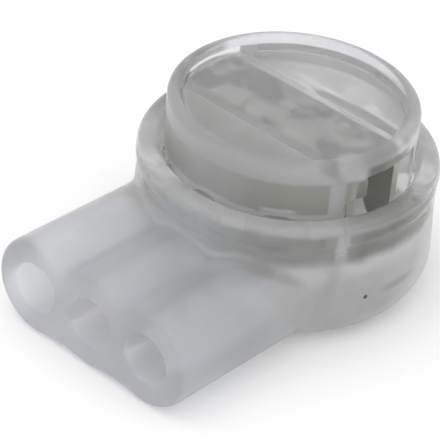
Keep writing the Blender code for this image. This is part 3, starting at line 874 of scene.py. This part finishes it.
def glint_streak(tree, turn, height):
    """The share of a painted glint on the cap's skirt, a streak where gel would catch the light, at a turn in
    degrees from X and at a height.
    """
    foot = (height - GLINT_RISE, height - GLINT_RISE + GLINT_BLUR)
    head = (height + GLINT_RISE, height + GLINT_RISE + GLINT_BLUR)
    above = along(tree, "Z", foot, wave=GLINT_BLUR)
    below = along(tree, "Z", head, 1.0, 0.0, GLINT_BLUR)
    sector = towards(tree, (turn, *GLINT_SPAN), mirrored=False)
    return product(tree, product(tree, above, below), sector)


def cup_zones(tree, plastic):
    """Where the cup's outer skin looks unlike the rest, each as a share and a tint: the tubes' tint, a dark
    mark and a speck, painted light on the edge and a latch leg, and painted shade under the edge and by the
    contact's end.
    """
    above = along(tree, "Z", SHADE_FOOT, wave=SHADE_FOOT_WAVE)
    height = product(tree, above, along(tree, "Z", SHADE_HEAD, 1.0, 0.0, SHADE_HEAD_WAVE))
    under_edge = product(tree, height, towards(tree, SHADE_SECTOR))
    window = product(tree, height, towards(tree, WINDOW_SHADE_SECTOR))
    post = product(tree, under_edge, towards(tree, POST_LIGHT_SECTOR))
    edge = along(tree, "Z", EDGE_FADE)
    dark_mark = near(tree, DARK_MARK_PLACE, DARK_MARK_REACH, DARK_MARK_BLUR, DARK_MARK_SQUEEZE)
    return [
        (along(tree, "Y", TUBE_FADE, 1.0, 0.0), plastic.tube_tint),
        (edge, plastic.lit_edge_tint),
        (product(tree, edge, towards(tree, EDGE_SHADE_SECTOR)), plastic.shade_tint),
        (under_edge, plastic.shade_tint),
        (window, plastic.contact_shade_tint),
        (post, plastic.lit_edge_tint),
        (dark_mark, plastic.dark_mark_tint),
        (near(tree, SPECK_PLACE, SPECK_REACH, SPECK_BLUR), plastic.speck_tint),
    ]


def cap_zones(tree, plastic):
    """Where the cap's outer skin looks unlike the rest, each as a share and a tint: painted light on the rim
    and the latch legs, painted shade where the contact lies behind the rim and skirt, and painted glints.
    """
    ring = rest_of(tree, near_axis(tree, RIM_RADIUS, RIM_BLUR))
    rim = product(tree, along(tree, "Z", RIM_FADE), ring)
    skirt = along(tree, "Z", RIM_FADE, 1.0, 0.0)
    low_rim = product(tree, rim, along(tree, "Z", LOW_RIM_FADE, 1.0, 0.0))
    zones = [
        (rim, plastic.lit_rim_tint),
        (product(tree, low_rim, towards(tree, CONTACT_END_SHADE_SECTOR)), plastic.contact_shade_tint),
        (product(tree, skirt, towards(tree, METAL_SHADE_SECTOR)), plastic.metal_shade_tint),
        (product(tree, skirt, towards(tree, LEG_LIGHT_SECTOR)), plastic.lit_rim_tint),
    ]
    for turn, rise in GLINT_STREAKS:
        zones.append((glint_streak(tree, turn, HOUSING_HIGH.z + rise), plastic.glint_tint))
    return zones


def milky_plastic(name, tint, clear, roughness, zones, plastic):
    """Natural polypropylene: cloudy and half clear, and clearer where gel wets it, with the inner skin
    painted near white as painted light.
    """
    mat, tree, shader = base_material(name, tint, roughness)
    shader.inputs["Transmission Weight"].default_value = clear
    shader.inputs["Coat Roughness"].default_value = 0.3
    inner = inner_share(tree)
    tree.links.new(spread(tree, inner, plastic.dry_ior, plastic.wet_ior), shader.inputs["IOR"])
    tree.links.new(spread(tree, inner, plastic.dry_coat, 0.0), shader.inputs["Coat Weight"])
    clouds = cloudy(tree, scale=0.5, detail=5.0)
    outer = mixed(tree, clouds, shaded(tint, plastic.cloud_dark), shaded(tint, plastic.cloud_light))
    for where, zone_tint in zones(tree, plastic):
        outer = mixed(tree, where, outer, zone_tint)
    # The inner skin is painted near white with smears, painted light in the bores and the cup.
    smears = cloudy(tree, scale=0.9, detail=4.0)
    wet = mixed(tree, smears, plastic.lit_smear_tint, plastic.lit_inner_tint)
    tree.links.new(mixed(tree, inner, outer, wet), shader.inputs["Base Color"])
    bumped(tree, shader, noise_field(tree, scale=1.4, detail=3.0), plastic.ripple)
    return mat


def tinned_sheet(contact):
    """Tin plate with dark patches on top, legs painted lighter as painted light, and a faint grain along the
    strip.
    """
    tint = contact.tint
    mat, tree, shader = base_material("tinned_sheet", tint, 0.45)
    shader.inputs["Metallic"].default_value = 0.75
    patches = spread(tree, noise_field(tree, scale=0.7, detail=5.0), 0.0, 1.0, *PATCH_RANGE)
    top = mixed(tree, patches, shaded(tint, contact.patch_dark), shaded(tint, contact.patch_light))
    legs = along(tree, "Z", CONTACT_LEG_FADE, 1.0, 0.0)
    sheet = mixed(tree, legs, top, shaded(tint, contact.leg_light))
    tree.links.new(sheet, shader.inputs["Base Color"])
    grain = noise_field(tree, scale=3.0, detail=4.0, stretch=(0.15, 1.0, 1.0))
    roughness = spread(tree, grain, contact.smooth, contact.rough, *NOISE_RANGE)
    tree.links.new(roughness, shader.inputs["Roughness"])
    bumped(tree, shader, grain, contact.grain)
    return mat


def clear_gel(gel):
    """Clear, wet sealing gel."""
    mat, tree, shader = base_material("clear_gel", gel.tint, 0.12)
    shader.inputs["Transmission Weight"].default_value = 0.92
    shader.inputs["IOR"].default_value = 1.15
    shader.inputs["Coat Weight"].default_value = 0.5
    shader.inputs["Coat Roughness"].default_value = 0.08
    bumped(tree, shader, noise_field(tree, scale=1.2, detail=3.0), gel.ripple)
    return mat


def dress(obj, mat):
    """Gives the object this one material."""
    obj.data.materials.clear()
    obj.data.materials.append(mat)


class CONNECTOR_OT_housing(bpy.types.Operator):
    """Build the cup and its three wire tubes in milky plastic"""
    bl_idname = "connector.housing"
    bl_label = "Housing"

    def execute(self, context):
        plastic = context.scene.connector_plastic
        housing = build_housing()
        mat = milky_plastic(
            "milky_plastic", plastic.cup_tint, plastic.cup_clear, plastic.collar_roughness, cup_zones, plastic
        )
        tree = mat.node_tree
        frosted = along(tree, "Z", FROST_FADE, plastic.wall_roughness, plastic.collar_roughness)
        tree.links.new(frosted, tree.nodes["Principled BSDF"].inputs["Roughness"])
        dress(housing, mat)
        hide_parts("housing")
        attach(housing, "housing_body")
        return {"FINISHED"}


class CONNECTOR_OT_cap(bpy.types.Operator):
    """Build the press cap in clearer plastic"""
    bl_idname = "connector.cap"
    bl_label = "Press cap"

    def execute(self, context):
        plastic = context.scene.connector_plastic
        cap = build_cap()
        mat = milky_plastic(
            "clear_plastic", plastic.cap_tint, plastic.cap_clear, plastic.skirt_roughness, cap_zones, plastic
        )
        tree = mat.node_tree
        disc = near_axis(tree, SUNK_TOP_RADIUS, SUNK_TOP_BLUR)
        sunk_top = product(tree, along(tree, "Z", SUNK_TOP_FADE), disc)
        roughness = spread(tree, sunk_top, plastic.skirt_roughness, plastic.sunk_top_roughness)
        tree.links.new(roughness, tree.nodes["Principled BSDF"].inputs["Roughness"])
        dress(cap, mat)
        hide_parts("cap")
        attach(cap, "cap_body")
        return {"FINISHED"}


class CONNECTOR_OT_contact(bpy.types.Operator):
    """Give the folded contact its tinned finish"""
    bl_idname = "connector.contact"
    bl_label = "Contact"

    def execute(self, context):
        contact = frame["nodes"]["contact_element"]
        dress(contact, tinned_sheet(context.scene.connector_contact))
        bevel = contact.modifiers.new("Broken edges", "BEVEL")
        bevel.width = context.scene.connector_contact.edge_break
        bevel.segments = 2
        bevel.limit_method = "ANGLE"
        bevel.angle_limit = math.radians(40)
        return {"FINISHED"}


class CONNECTOR_OT_gel(bpy.types.Operator):
    """Fill the cup with sealing gel"""
    bl_idname = "connector.gel"
    bl_label = "Sealing gel"

    def execute(self, context):
        gel = build_gel()
        dress(gel, clear_gel(context.scene.connector_gel))
        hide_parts("sealing_gel")
        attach(gel, "housing_body")
        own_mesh(gel)
        return {"FINISHED"}


def seen_rays(tree):
    """1 for the rays that show the camera what lies behind: straight, mirrored or through plastic."""
    rays = tree.nodes.new("ShaderNodeLightPath").outputs
    mirrored = worked_out(tree, "MAXIMUM", rays["Is Camera Ray"], rays["Is Glossy Ray"])
    return worked_out(tree, "MAXIMUM", mirrored, rays["Is Transmission Ray"])


def studio_floor(studio):
    """A pale floor, whiter to the camera than to the light, so that it lights the part less from below."""
    mesh = bpy.data.meshes.new("studio_floor")
    shape = bmesh.new()
    bmesh.ops.create_grid(shape, x_segments=1, y_segments=1, size=studio.floor_reach)
    shape.to_mesh(mesh)
    shape.free()
    floor = linked("studio_floor", mesh)
    mat, tree, shader = base_material("pale_floor", studio.floor_seen, 0.9)
    shader.inputs["Specular IOR Level"].default_value = 0.0
    shade = mixed(tree, seen_rays(tree), studio.floor_lit, studio.floor_seen)
    tree.links.new(shade, shader.inputs["Base Color"])
    dress(floor, mat)


def studio_sky(studio):
    """Soft light from all round, brighter from above and from the tubes' side, and white where it is seen."""
    world = bpy.data.worlds.new("studio")
    bpy.context.scene.world = world
    world.use_nodes = True
    tree = world.node_tree
    even = tree.nodes["Background"]
    even.inputs["Strength"].default_value = studio.sky
    direction = tree.nodes.new("ShaderNodeTexCoord").outputs["Generated"]
    across = vector_step(tree, "DOT_PRODUCT", direction, studio.sky_from)["Value"]
    level = spread(tree, across, 0.0, 1.0, -1.0, 1.0)
    low = [1.0 - studio.sky_slope] * 3
    high = [1.0 + studio.sky_slope] * 3
    tree.links.new(mixed(tree, level, low, high), even.inputs["Color"])
    white = tree.nodes.new("ShaderNodeBackground")
    white.inputs["Color"].default_value = (1.0, 1.0, 1.0, 1.0)
    mix = tree.nodes.new("ShaderNodeMixShader")
    tree.links.new(seen_rays(tree), mix.inputs["Fac"])
    tree.links.new(even.outputs["Background"], mix.inputs[1])
    tree.links.new(white.outputs["Background"], mix.inputs[2])
    tree.links.new(mix.outputs["Shader"], tree.nodes["World Output"].inputs["Surface"])


def softbox(name, place, width, power):
    """A square lamp that faces the part."""
    lamp = bpy.data.lights.new(name, "AREA")
    lamp.size = width
    lamp.energy = power
    obj = linked(name, lamp)
    obj.location = place
    aim = Vector((0.0, 0.0, CAP_LOW.z)) - Vector(place)
    obj.rotation_euler = aim.to_track_quat("-Z", "Y").to_euler()


def studio_camera(studio):
    """The photograph's view, with its slight tilt."""
    azimuth = studio.azimuth
    elevation = studio.elevation
    level_back = Vector((math.sin(azimuth), -math.cos(azimuth), 0.0))
    back = level_back * math.cos(elevation) + Vector((0.0, 0.0, math.sin(elevation)))
    right = Vector((math.cos(azimuth), math.sin(azimuth), 0.0))
    up = back.cross(right)
    place = right * studio.aim_right + up * studio.aim_up + back * studio.distance
    across = right * math.cos(studio.roll) + up * math.sin(studio.roll)
    upward = up * math.cos(studio.roll) - right * math.sin(studio.roll)
    data = bpy.data.cameras.new("studio_camera")
    data.sensor_width = 36.0
    data.lens = studio.lens
    data.clip_start = 0.01
    camera = linked("studio_camera", data)
    turn = Matrix((across, upward, back)).transposed().to_4x4()
    camera.matrix_world = Matrix.Translation(place) @ turn
    bpy.context.scene.camera = camera


class CONNECTOR_OT_studio(bpy.types.Operator):
    """Set up the floor, the lamp, the soft light and the camera"""
    bl_idname = "connector.studio"
    bl_label = "Studio"

    def execute(self, context):
        studio = context.scene.connector_studio
        context.scene.view_settings.view_transform = "Standard"
        studio_floor(studio)
        studio_sky(studio)
        softbox("key_softbox", studio.key_place, studio.key_width, studio.key_power)
        studio_camera(studio)
        return {"FINISHED"}


OPERATORS = [
    CONNECTOR_OT_housing,
    CONNECTOR_OT_cap,
    CONNECTOR_OT_contact,
    CONNECTOR_OT_gel,
    CONNECTOR_OT_studio,
]


class CONNECTOR_PT_panel(bpy.types.Panel):
    """Lists the connector's pieces and their settings"""
    bl_label = "Wire Connector"
    bl_idname = "CONNECTOR_PT_panel"
    bl_space_type = "VIEW_3D"
    bl_region_type = "UI"
    bl_category = "Connector"

    def draw(self, context):
        for operator in OPERATORS:
            self.layout.operator(operator.bl_idname)
        for group in SETTINGS:
            box = self.layout.box()
            values = getattr(context.scene, group)
            for name in values.__annotations__:
                box.prop(values, name)


def register():
    for group in SETTINGS.values():
        bpy.utils.register_class(group)
    for name, group in SETTINGS.items():
        setattr(bpy.types.Scene, name, PointerProperty(type=group))
    for operator in OPERATORS:
        bpy.utils.register_class(operator)
    bpy.utils.register_class(CONNECTOR_PT_panel)


def unregister():
    bpy.utils.unregister_class(CONNECTOR_PT_panel)
    for operator in reversed(OPERATORS):
        bpy.utils.unregister_class(operator)
    for name in SETTINGS:
        delattr(bpy.types.Scene, name)
    for group in SETTINGS.values():
        bpy.utils.unregister_class(group)


def main():
    register()
    bpy.ops.connector.housing()
    bpy.ops.connector.cap()
    bpy.ops.connector.contact()
    bpy.ops.connector.gel()
    bpy.ops.connector.studio()


if __name__ == "__main__":
    main()
